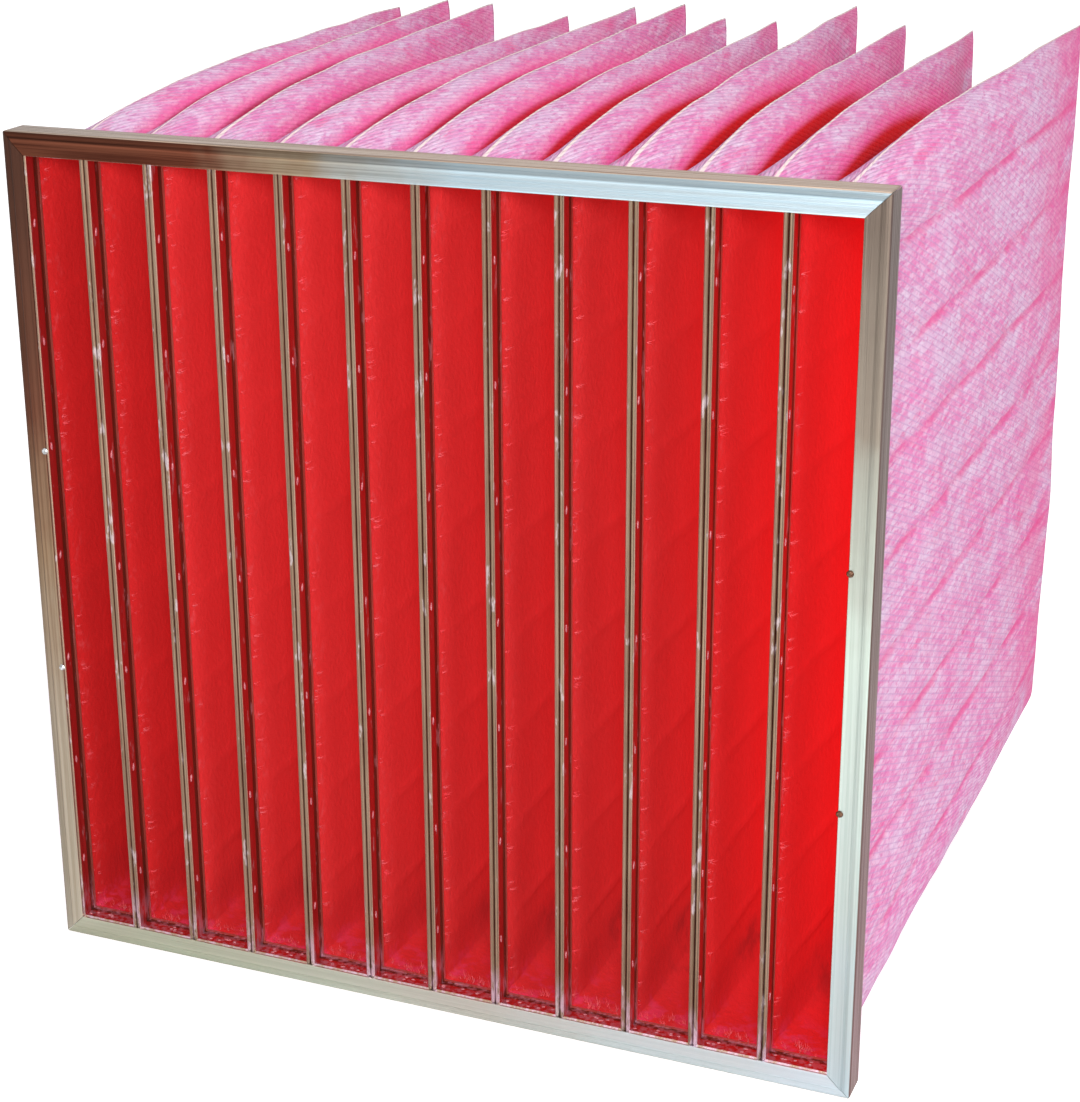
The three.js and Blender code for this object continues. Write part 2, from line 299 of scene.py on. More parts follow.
def cloud_group():
    """Soft clouds: Mask runs from 0 to 1 between Low and High of a noise."""
    tree, given, result = group_tree(
        "Fibre clouds", {"Vector": None, "Size": 0.02, "Low": 0.4, "High": 0.6}, "Mask"
    )
    scale = maths(tree, "DIVIDE", 1.0, given["Size"])
    values = {"Vector": given["Vector"], "Scale": scale, "Detail": 4.0, "Roughness": 0.6}
    noisy = node(tree, "ShaderNodeTexNoise", values).outputs["Fac"]
    tree.links.new(ranged(tree, noisy, given["Low"], given["High"]), result["Mask"])
    return tree


def weave_group():
    """A net pressed into the medium: Height is 0 on its slanting threads and 1 between them."""
    sizes = {"Pitch": 0.0046, "Slant": -0.4, "Cross pitch": 0.011}
    tree, given, result = group_tree("Pressed net", {"Vector": None, **sizes}, "Height")
    parts = axes(tree, given["Vector"])
    slid = maths(tree, "ADD", parts["Y"], times(tree, parts["X"], given["Slant"]))
    waves = []
    for value, pitch in ((slid, given["Pitch"]), (parts["X"], given["Cross pitch"])):
        turn = times(tree, value, maths(tree, "DIVIDE", math.pi, pitch))
        waves.append(apart(tree, maths(tree, "SINE", turn)))
    height = maths(tree, "MINIMUM", waves[0], maths(tree, "ADD", waves[1], 0.25))
    tree.links.new(height, result["Height"])
    return tree


def streak_group():
    """Rolling streaks: a noise drawn out by Stretch, which divides the coordinates."""
    defaults = {"Vector": None, "Stretch": (1, 1, 1), "Low": 0.35, "High": 0.65}
    tree, given, result = group_tree("Rolling streaks", defaults, "Mask")
    drawn = node(
        tree, "ShaderNodeVectorMath", {0: given["Vector"], 1: given["Stretch"]}, operation="DIVIDE"
    ).outputs[0]
    values = {"Vector": drawn, "Scale": 1.0, "Detail": 3.0, "Roughness": 0.55}
    streak_and_reflection = node(tree, "ShaderNodeTexNoise", values).outputs["Fac"]
    tree.links.new(ranged(tree, streak_and_reflection, given["Low"], given["High"]), result["Mask"])
    return tree


GROUPS = {}


def effect(tree, maker, values):
    """A shared effect group, built once, placed in a material with its own values."""
    if maker.__name__ not in GROUPS:
        GROUPS[maker.__name__] = maker()
    placed = tree.nodes.new("ShaderNodeGroup")
    placed.node_tree = GROUPS[maker.__name__]
    for name, value in values.items():
        if isinstance(value, bpy.types.NodeSocket):
            tree.links.new(value, placed.inputs[name])
        else:
            placed.inputs[name].default_value = value
    return placed.outputs[0]


def cloud(tree, vector, size, low, high):
    return effect(tree, cloud_group, {"Vector": vector, "Size": size, "Low": low, "High": high})


def material(name, metallic, roughness):
    made = bpy.data.materials.new(name)
    made.use_nodes = True
    shader = made.node_tree.nodes["Principled BSDF"]
    shader.inputs["Metallic"].default_value = metallic
    shader.inputs["Roughness"].default_value = roughness
    return made, made.node_tree, shader.inputs


def place(tree):
    return node(tree, "ShaderNodeTexCoord").outputs["Object"]


def axes(tree, vector):
    return node(tree, "ShaderNodeSeparateXYZ", {"Vector": vector}).outputs


def bump(tree, shader, height, distance, strength=1.0):
    values = {"Height": height, "Distance": distance, "Strength": strength}
    tree.links.new(node(tree, "ShaderNodeBump", values).outputs["Normal"], shader["Normal"])


def chart(*stops):
    """Colour stops for a ramp, from places and colour codes."""
    return [(at, tone(code)) for at, code in stops]


def ramp(tree, value, stops):
    made = node(tree, "ShaderNodeValToRGB", {"Fac": value})
    points = made.color_ramp.elements
    while len(points) < len(stops):
        points.new(1.0)
    for point, (position, colour) in zip(points, stops):
        point.position = position
        point.color = (*colour, 1)
    return made.outputs["Color"]


def coat(name, made):
    """Gives a CAD solid one material in place of its own."""
    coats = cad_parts[name].data.materials
    coats.clear()
    coats.append(made)


# The header.


def header_material(name, axis, stops, edge, painted_lip_lights, outer, streaks):
    """Zinc-coated steel: a painted reflection that changes along the member, painted highlights and
    shade across its lip, streaks.

    edge is the axis across the lip and the place of the member's outer face on it; the lip's painted
    highlights and shade are lightness by share of the lip's width; outer has the stops of the outer
    face's own painted reflection; and streaks is the strength of the rolling streaks, which darken the
    colour partly as a painted reflection.
    """
    made, tree, shader = material(name, 0.92, 0.36)
    where = place(tree)
    parts = axes(tree, where)
    low, high = {"X": (CAD_HEADER[0].x, CAD_HEADER[1].x), "Z": (CAD_HEADER[0].z, CAD_HEADER[1].z)}[axis]
    wander = cloud(tree, where, 0.09, 0.3, 0.7)
    shifted = maths(tree, "ADD", parts[axis], times(tree, wander, 0.05))
    along = maths(tree, "DIVIDE", maths(tree, "SUBTRACT", shifted, low), high - low)
    # A painted reflection, brown to pale, along the member.
    base = ramp(tree, along, stops)
    # Painted highlights and shade in stripes across the lip.
    across = apart(tree, parts[edge[0]], edge[1])
    painted_lip_light = ramp(tree, maths(tree, "DIVIDE", across, LIP_WIDTH), [(at, (v, v, v)) for at, v in painted_lip_lights])
    base = blended(tree, 1.0, base, painted_lip_light, "MULTIPLY")
    # The outer face has its own painted reflection.
    base = blended(tree, ranged(tree, across, 0.0009, 0.0003), base, ramp(tree, along, outer))
    stretch = (0.16, 0.0013, 0.0013) if axis == "X" else (0.0013, 0.0013, 0.16)
    streak_and_reflection = effect(tree, streak_group, {"Vector": where, "Stretch": stretch})
    # The streaks darken the colour: rolling marks, and partly a painted reflection.
    base = blended(tree, streak_and_reflection, base, blended(tree, streaks, base, base, "MULTIPLY"))
    tree.links.new(base, shader["Base Color"])
    tree.links.new(ranged(tree, streak_and_reflection, 0, 1, 0.3, 0.46), shader["Roughness"])
    bump(tree, shader, streak_and_reflection, 0.00012, 0.6)
    return made


class FILTER_OT_header(bpy.types.Operator):
    """Finishes the four header members as streaked zinc-coated steel with painted reflections,
    highlights and shade
    """

    bl_idname = "bag_filter.header"
    bl_label = "Finish the header"

    def execute(self, context):
        steel = context.scene.filter_steel
        pale, khaki, brown = (tuple(c) for c in (steel.pale, steel.khaki, steel.brown))
        dark = tuple(c * 0.75 for c in brown)
        low, high = CAD_HEADER
        # Each member: the axis along it, the stops of its painted reflection along it, its lip's edge,
        # the painted highlights and shade across the lip, the painted reflection of its outer face, and
        # the strength of its streaks.
        finishes = {
            "header_top": (
                "X",
                [(0, dark), (0.3, brown), (0.4, khaki), (0.55, pale), (1, pale)],
                ("Z", high.z),
                [(0, 0.7), (0.3, 0.62), (0.38, 1.35), (0.46, 1.0), (0.93, 1.0), (0.97, 1.3)],
                chart((0, "6f5843"), (0.5, "8a735e"), (1, "a08a78")),
                0.7,
            ),
            "header_bottom": (
                "X",
                chart(
                    (0, "b6b4a2"), (0.2, "b6bba8"), (0.4, "bcc1b4"), (0.6, "bfbeb6"),
                    (0.8, "c4cccc"), (1, "cad4da"),
                ),
                ("Z", low.z),
                [(0, 0.9), (0.33, 0.95), (0.4, 1.04), (0.5, 0.98), (0.9, 1.0), (0.96, 1.1)],
                [(0, khaki), (1, khaki)],
                0.25,
            ),
            "header_left": (
                "Z",
                chart(
                    (0, "c2bcb0"), (0.1, "b8ae9c"), (0.35, "b0a290"), (0.55, "9c8268"),
                    (0.72, "7a4e3c"), (1, "5c3c30"),
                ),
                ("X", low.x),
                [(0, 0.7), (0.14, 0.82), (0.36, 0.9), (0.42, 1.05), (0.84, 1.0), (0.96, 1.12)],
                [(0, brown), (1, brown)],
                0.4,
            ),
            "header_right": (
                "Z",
                chart((0, "b4c3ca"), (0.3, "b5c1bd"), (0.55, "b7c2b9"), (0.8, "8b8175"), (1, "74675d")),
                ("X", high.x),
                [
                    (0, 0.85),
                    (0.08, 1.08),
                    (0.22, 1.05),
                    (0.26, 0.86),
                    (0.38, 0.88),
                    (0.46, 0.98),
                    (0.95, 1.08),
                ],
                chart((0, "7a5650"), (0.5, "745a52"), (1, "725e58")),
                0.25,
            ),
        }
        for name, (axis, stops, edge, painted_lip_lights, outer, streaks) in finishes.items():
            title = name.replace("_", " ").capitalize() + " steel"
            coat(name, header_material(title, axis, stops, edge, painted_lip_lights, outer, streaks))
        return {"FINISHED"}


# The pocket frames.


def channel_material(steel):
    """Rolled channel steel: beige noses with painted highlights on their bends and painted shade
    between two frames, legs with a painted red reflection of the medium, painted brown shade in the
    bead groove, a painted highlight on the rear edge and painted glints.

    off is the distance from the middle between two frames, and back the one from the header's face.
    """
    made, tree, shader = material("Channel steel", 0.9, 0.34)
    where = place(tree)
    parts = axes(tree, where)
    streak_and_reflection = effect(tree, streak_group, {"Vector": where, "Stretch": (0.0012, 0.0014, 0.12)})
    patch = cloud(tree, where, 0.05, 0.35, 0.7)
    turned = maths(tree, "DIVIDE", maths(tree, "SUBTRACT", parts["X"], CAD_HEADER[0].x), PITCH)
    start = (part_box("pocket_frame_01")[0].x - CAD_HEADER[0].x) / PITCH
    share = maths(tree, "FRACT", maths(tree, "SUBTRACT", turned, start - 0.5 + 0.2 * MM / PITCH))
    off = times(tree, apart(tree, share, 0.5), PITCH)
    # Painted highlights on the nose bends, and painted shade in the gap between two frames.
    base = ramp(
        tree,
        maths(tree, "DIVIDE", off, 3.4 * MM),
        chart(
            (0, "33261e"), (0.14, "5a4636"), (0.28, "927a64"), (0.5, "a48d78"), (0.62, "7a6454"),
            (0.78, "b79c8a"),
        ),
    )
    # The streaks darken the colour: rolling marks, and partly a painted reflection.
    base = blended(tree, streak_and_reflection, base, blended(tree, 0.6, base, base, "MULTIPLY"))
    base = blended(tree, times(tree, patch, 0.25), base, tuple(steel.khaki))
    tall = node(tree, "ShaderNodeMapping", {"Vector": where, "Scale": (1, 1, 0.3)}).outputs[0]
    glint = cloud(tree, tall, 0.007, 0.6, 0.68)
    foot_glint = cloud(tree, tall, 0.004, 0.42, 0.6)
    foot_glint = times(tree, foot_glint, ranged(tree, parts["Z"], 0.05, 0.022))
    back = maths(tree, "SUBTRACT", parts["Y"], FRONT)
    # The legs: a painted red reflection of the medium in the mouth.
    base = blended(tree, ranged(tree, back, 0.0018, 0.0034), base, tone("c83f3f"))
    # A painted brown shade line in the bead groove, then a painted highlight on the rear edge.
    groove = times(tree, ranged(tree, back, 0.0098, 0.0108), ranged(tree, back, 0.0154, 0.0146))
    base = blended(tree, groove, base, tone("7c4436"))
    base = blended(tree, ranged(tree, back, 0.0148, 0.0154), base, tone("c89080"))
    # Painted glints on the noses, and at their feet.
    base = blended(tree, times(tree, glint, 0.55), base, tone("d8cbd2"))
    base = blended(tree, times(tree, foot_glint, 0.7), base, tone("d4b4c8"))
    tree.links.new(base, shader["Base Color"])
    tree.links.new(ranged(tree, streak_and_reflection, 0, 1, 0.34, 0.5), shader["Roughness"])
    bump(tree, shader, streak_and_reflection, 0.0001, 0.5)
    return made


def clinch_material():
    made, tree, shader = material("Clinched medium", 0.0, 0.8)
    speck = cloud(tree, place(tree), 0.0015, 0.35, 0.7)
    tree.links.new(blended(tree, speck, tone("a04e58"), tone("c8868e")), shader["Base Color"])
    bump(tree, shader, speck, 0.0002)
    return made


def clinch_pattern():
    """An oval tongue of medium, flat in X and tall in Z, wider at its top."""
    deselect_all()
    bpy.ops.mesh.primitive_uv_sphere_add(segments=12, ring_count=6, radius=1.0)
    pattern = bpy.context.object
    pattern.name = "clinch_pattern"
    bpy.ops.object.mode_set(mode="EDIT")
    bpy.ops.mesh.select_all(action="SELECT")
    bpy.ops.transform.resize(value=(0.45 * MM, 1.2 * MM, 2.9 * MM))
    select_parts(pattern, "VERT", lambda v: v.co.z > 1.4 * MM)
    bpy.ops.transform.resize(value=(1.3, 0.7, 1.0))
    bpy.ops.object.mode_set(mode="OBJECT")
    bpy.ops.object.shade_smooth()
    return pattern


class FILTER_OT_frames(bpy.types.Operator):
    """Finishes the pocket frames and adds the clinch marks through which the medium shows"""

    bl_idname = "bag_filter.frames"
    bl_label = "Finish the pocket frames"

    def execute(self, context):
        steel = channel_material(context.scene.filter_steel)
        clinched = clinch_material()
        pattern = clinch_pattern()
        draw = random.Random(41)
        for name in FRAME_NODES:
            coat(name, steel)
            low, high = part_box(name)
            middle = (low.z + high.z) / 2
            places = []
            for k in CLINCH_ROWS:
                for x in (low.x + CHANNEL_LEG, high.x - CHANNEL_LEG):
                    z = middle + CLINCH_PITCH * k + draw.uniform(-3, 3) * MM
                    y = low.y + CLINCH_BACK + draw.uniform(-0.6, 0.6) * MM
                    turn = Matrix.Rotation(draw.uniform(-0.2, 0.2), 4, "X")
                    places.append(Matrix.Translation((x, y, z)) @ turn)
            flat = Matrix.Rotation(math.pi / 2, 4, "Y") @ Matrix.Diagonal((1, 0.8, 0.45, 1))
            for z in (low.z + CHANNEL_LEG, high.z - CHANNEL_LEG):
                for _ in range(CLINCHES_ACROSS):
                    x = draw.uniform(low.x + 5 * MM, high.x - 5 * MM)
                    y = low.y + draw.uniform(3.5, 9) * MM
                    places.append(Matrix.Translation((x, y, z)) @ flat)
            made = gathered(pattern, places, name.replace("pocket_frame", "clinch_marks"))
            made.data.materials.append(clinched)
            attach(made, "root")
        remove(pattern)
        return {"FINISHED"}


# The rivets.


class FILTER_OT_rivets(bpy.types.Operator):
    """Finishes the four rivets: scuffed aluminium heads, with a painted dark brown reflection on the
    right
    """

    bl_idname = "bag_filter.rivets"
    bl_label = "Finish the rivets"

    def execute(self, context):
        made, tree, shader = material("Rivet aluminium", 0.95, 0.28)
        where = place(tree)
        scuff = cloud(tree, where, 0.0012, 0.4, 0.7)
        clean = blended(tree, scuff, tone("dfe3e6"), tone("8c8a88"))
        # A painted reflection: the rivets on the right are painted dark brown.
        painted_dark_reflection = blended(tree, scuff, tone("7a5a48"), tone("4a342a"))
        side = axes(tree, where)["X"]
        tree.links.new(blended(tree, ranged(tree, side, -0.1, 0.1), clean, painted_dark_reflection), shader["Base Color"])
        tree.links.new(ranged(tree, scuff, 0, 1, 0.22, 0.45), shader["Roughness"])
        bump(tree, shader, scuff, 0.00008, 0.5)
        for name in RIVET_NODES:
            coat(name, made)
            only(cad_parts[name])
            bpy.ops.object.shade_smooth_by_angle(angle=math.radians(50))
        return {"FINISHED"}


# The pockets.


class Pocket:
    """The shape of one pocket, from where its CAD solid's mouth and far edge are."""

    RIDGE_RISE = 28 * MM
    RIDGE_RUN = 95 * MM
    KEEL_DROP = 9 * MM
    KEEL_RUN = 40 * MM
    KEEL_LIFT = 23 * MM
    SHOULDER_RUN = 40 * MM
    SHOULDER_IN = 0.24
    SHOULDER_DOWN = 0.3
    TAPER_POWER = 1.2
    STATION_POWER = 1.2
    RIDGE_POWER = 1.5
    END_HALF = 1.6 * MM
    SEAM_PITCH = 68.3 * MM
    SEAM_LIFT = 11 * MM
    SHOULDER_REACH = 9 * MM

    # The left wall folds in towards the top seam, on the loose pockets further from the header.
    FOLD = 0.5
    FOLD_RUN = 35 * MM
    FOLD_REACH = 35 * MM
    LOOSE_FOLD_RUN = 75 * MM
    LOOSE = (9, 11, 12)

    # How far left of its middle each top seam starts, as a share of the pocket's half width.
    SEAM_LEFT = (0.1, 0.15, -0.1, 0.0, 0.0, 0.0, -0.1, -0.1, -0.15, -0.1, 0.0, 0.15)
    SEAM_RUN = 60 * MM

    # The bays' roundness, and how fast bays and drags fade out towards the far seam.
    PUFF_POWER = 0.7
    FADE = 6

    # Waves in the cloth: their lengths back and up, and the heights of those that have no setting.
    WAVE = (95 * MM, 62 * MM)
    DRAG = (34 * MM, 120 * MM)
    DRAG_SHARE = 0.35
    SWAY = (240 * MM, 260 * MM)
    SWAY_HEIGHT = 3 * MM
    RIPPLE = 75 * MM
    RIPPLE_HEIGHT = 1.3 * MM
    RIPPLE_POWER = 6

    def __init__(self, name, settings, number):
        self.settings = settings
        self.seed = Vector((number * 7.31, number * 3.17, number * 1.93))
        self.seam_left = self.SEAM_LEFT[number - 1]
        self.fold_run = self.LOOSE_FOLD_RUN if number in self.LOOSE else self.FOLD_RUN
        points = [v.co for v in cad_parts[name].data.vertices]
        first = min(p.y for p in points)
        last = max(p.y for p in points)
        hem = [p for p in points if p.y < first + 1e-5]
        far = [p for p in points if p.y > last - 1e-5]
        self.first = first
        self.start = FRONT + BAG_START
        self.length = last - END_SEAM - self.start
        self.last = last
        self.centre = (min(p.x for p in hem) + max(p.x for p in hem)) / 2
        self.half = (max(p.x for p in hem) - min(p.x for p in hem)) / 2
        self.lean = (min(p.x for p in far) + max(p.x for p in far)) / 2 - self.centre
        self.top = max(p.z for p in hem)
        self.bottom = min(p.z for p in hem)
        self.lift = 0.0
        self.lift = max(p.z for p in far) - self.section(1.0)["top"]

    def along(self, y):
        """How far back a place is, from 0 where the bag starts to 1 at its far seam."""
        return min(max((y - self.start) / self.length, 0.0), 1.0)

    def section(self, along):
        """The size of the pocket at a place along it, before its seams and waves."""
        run = along * self.length
        lift = self.lift * along
        ridge = self.RIDGE_RISE * (1 - math.exp(-run / self.RIDGE_RUN))
        keel = self.KEEL_LIFT * along - self.KEEL_DROP * (1 - math.exp(-run / self.KEEL_RUN))
        return {
            "half": self.END_HALF + (self.half - self.END_HALF) * (1 - along**self.TAPER_POWER),
            "top": self.top + ridge + lift,
            "bottom": self.bottom + keel + lift,
            "shoulder": 1 - math.exp(-run / self.SHOULDER_RUN),
            "fold": self.FOLD * (1 - math.exp(-run / self.fold_run)) * (1 - along**4),
        }

    def crest(self, along):
        """Where across the ridge its top seam runs: it starts beside the middle and ends on it."""
        return -self.seam_left * math.exp(-along * self.length / self.SEAM_RUN)

    def crest_x(self, along):
        part = self.section(along)
        share = 1 - self.SHOULDER_IN * part["shoulder"] - part["fold"]
        return self.centre + self.lean * along + self.crest(along) * part["half"] * share

    def seams(self):
        """The heights of the spacer seams, from the top."""
        middle = (self.top + self.bottom) / 2 + self.SEAM_LIFT
        count = BAYS - 1
        return [middle + (count / 2 - 0.5 - k) * self.SEAM_PITCH for k in range(count)]

    def station(self, step):
        """How far back a station is, by its number: hem, bag and far seam."""
        if step <= HEM_STATIONS:
            return self.first + (self.start - self.first) * step / HEM_STATIONS
        bag_steps = STATIONS - HEM_STATIONS - END_STATIONS
        if step <= STATIONS - END_STATIONS:
            return self.start + self.length * ((step - HEM_STATIONS) / bag_steps) ** self.STATION_POWER
        past = (step - STATIONS + END_STATIONS) / END_STATIONS
        return self.start + self.length + (self.last - self.start - self.length) * past

    def noisy(self, *place_at):
        return noise.noise(Vector(place_at) + self.seed)

    def shaped(self, across, step, down):
        """A point of the cloth. across is -1 to 1, step a station, and down a bay and its share."""
        y = self.station(step)
        along = self.along(y)
        part = self.section(along)
        shoulder = part["shoulder"]
        seams = self.seams()
        settings = self.settings
        top_turn = part["top"] - self.SHOULDER_DOWN * shoulder * (part["top"] - seams[0]) / 2
        low_turn = part["bottom"] + self.SHOULDER_DOWN * shoulder * (seams[-1] - part["bottom"]) / 2
        levels = [top_turn, *seams, low_turn]
        bay = min(int(down), BAYS - 1)
        share = down - bay
        z = levels[bay] + (levels[bay + 1] - levels[bay]) * share
        loose = shoulder * min(1.0, (1 - along) * self.FADE)
        turn = part["half"] * (1 - self.SHOULDER_IN * shoulder)
        ends = {0.0: (part["top"], top_turn), float(BAYS): (part["bottom"], low_turn)}
        if abs(across) < 1 and down in ends:
            crest, edge = ends[down]
            z = crest + (edge - crest) * abs(across) ** self.RIDGE_POWER
            width = across * turn
            if across < 0 and down == 0:
                width -= across * part["half"] * part["fold"]
        else:
            near = min(top_turn - z, z - low_turn)
            fill = 1 - self.SHOULDER_IN * shoulder * math.exp(-near / self.SHOULDER_REACH)
            if across < 0:
                fill -= part["fold"] * math.exp((z - top_turn) / self.FOLD_REACH)
            puff = math.sin(math.pi * share) ** self.PUFF_POWER if 0 < share < 1 else 0.0
            on_seam = 1.0 if share == 0 and 0 < down < BAYS else 0.0
            bulge = settings.bay_puff * puff - settings.seam_pinch * on_seam
            width = part["half"] * fill + loose * bulge
            width = across * max(width, self.END_HALF * 0.75)
        wave = self.noisy(y / self.WAVE[0], z / self.WAVE[1], 0) * settings.wrinkle * shoulder
        drag = self.noisy((y + z * 0.8) / self.DRAG[0], (z - y * 0.5) / self.DRAG[1], across)
        wave += drag * self.DRAG_SHARE * settings.wrinkle * loose
        sway = self.noisy(y / self.SWAY[0], z / self.SWAY[1], 4) * self.SWAY_HEIGHT * along
        ripple = self.noisy(y / self.RIPPLE, 0.5, 9) * self.RIPPLE_HEIGHT * shoulder
        reach = abs(z - (part["top"] + part["bottom"]) / 2) / (part["top"] - part["bottom"]) * 2
        x = self.centre + self.lean * along + width + wave + sway
        return Vector((x, y, z + ripple * reach**self.RIPPLE_POWER))


def pocket_blank():
    """An open tube with a closed far end, divided into stations, bays and ridge strips, -1 to 1."""
    deselect_all()
    bpy.ops.mesh.primitive_cube_add(size=2)
    blank = bpy.context.object
    blank.name = "pocket_blank"
    bpy.ops.object.mode_set(mode="EDIT")
    select_parts(blank, "FACE", lambda f: f.normal.y < -0.9)
    bpy.ops.mesh.delete(type="ONLY_FACE")
    for axis, cuts in ((1, STATIONS), (2, BAYS * len(BAY_STEPS)), (0, ACROSS)):
        select_parts(blank, "EDGE", lambda e, axis=axis: lies_along(e, axis))
        bpy.ops.mesh.subdivide(number_cuts=cuts - 1)
    bpy.ops.object.mode_set(mode="OBJECT")
    return blank


# Light reaches into a gap by a share of its width, and by more to the right, where gaps open.
LIGHT_REACH = 0.33
LIGHT_REACH_RIGHT = 0.2
LIGHT_SLANT = 2.2
LEAST_REACH = 4 * MM
DEEPEST = 1.6
OPEN_END = 240 * MM


def gap_depth(pocket, neighbour, spot):
    """How deep a spot of a wall lies in the gap to the neighbour: about 1 where light stops."""
    if neighbour is None:
        return 0.0
    along = pocket.along(spot.y)
    wide = abs(neighbour.crest_x(along) - spot.x)
    own = pocket.section(along)
    other = neighbour.section(pocket.along(spot.y - LIGHT_SLANT * wide))
    reach = (LIGHT_REACH + LIGHT_REACH_RIGHT * spot.x) * wide + max(own["top"] - other["top"], 0.0)
    depth = max(min(own["top"] - spot.z, spot.z - own["bottom"]), 0.0)
    shut = 1 - math.exp((spot.y - pocket.last) / OPEN_END)
    return shut * min(depth / max(reach, LEAST_REACH), DEEPEST)


def shape_pocket(obj, pocket, neighbours):
    """Moves the tube's vertices onto the cloth, with its map, its thickness and two attributes.

    crest is the distance from the top seam, and gap the depth in the gap to the next pocket.
    """
    mesh = obj.data
    steps = len(BAY_STEPS)
    cloth = {}
    for v in mesh.vertices:
        step = round((v.co.y + 1) / 2 * STATIONS)
        level = round((1 - v.co.z) / 2 * BAYS * steps)
        bay, rest = divmod(level, steps)
        down = float(bay + BAY_STEPS[rest])
        across = round(v.co.x, 4)
        cloth[v.index] = (across, step, down)
    mesh.uv_layers[0].name = "Cloth"
    spots = []
    for loop in mesh.loops:
        across, step, down = cloth[loop.vertex_index]
        over = (1 - abs(across)) * pocket.half / Pocket.SEAM_PITCH
        down += over if down == BAYS else -over
        spots += (pocket.station(step) - pocket.start, down)
    mesh.uv_layers["Cloth"].data.foreach_set("uv", spots)
    loft = obj.vertex_groups.new(name="loft")
    crests, gaps = [], []
    for v in mesh.vertices:
        across, step, down = cloth[v.index]
        v.co = pocket.shaped(across, step, down)
        along = pocket.along(v.co.y)
        part = pocket.section(along)
        on_ridge = down in (0.0, float(BAYS))
        shoulder = Pocket.SHOULDER_DOWN * part["shoulder"] * Pocket.SEAM_PITCH / 2
        crest = pocket.crest(along)
        crests.append((across - crest) * (part["half"] + shoulder))
        neighbour = neighbours[0] if across < 0 else neighbours[1]
        gap = gap_depth(pocket, neighbour, v.co)
        # Left of its top seam the ridge takes the gap's painted shade, rising towards its edge and
        # fading out towards the mouth.
        if neighbour and on_ridge and across < crest:
            gap = 0.95 * ((crest - across) / (1 + crest)) ** 0.7 * min(along * 3, 1.0)
        gaps.append(gap)
        # The medium is thinner in its hem, and where the two walls leave it too little room.
        hem = min(max((v.co.y - pocket.start + 6 * MM) / (20 * MM), 0.0), 1.0)
        room = max(part["half"] - 1.4 * MM, 0.12 * MM) / (1.3 * pocket.settings.medium_thickness)
        loft.add([v.index], min(0.45 + 0.55 * hem, room), "REPLACE")
    for name, values in (("crest", crests), ("gap", gaps)):
        mesh.attributes.new(name, "FLOAT", "POINT").data.foreach_set("value", values)
    mesh.update()


def glow(tree, shader, share, base):
    """Paints light in: the medium glows by a share of its colour, standing for light behind it, and its
    shine is dulled.
    """
    tree.links.new(blended(tree, share, (0, 0, 0), base), shader["Emission Color"])
    shader["Emission Strength"].default_value = 1.0
    shader["Specular IOR Level"].default_value = 0.2


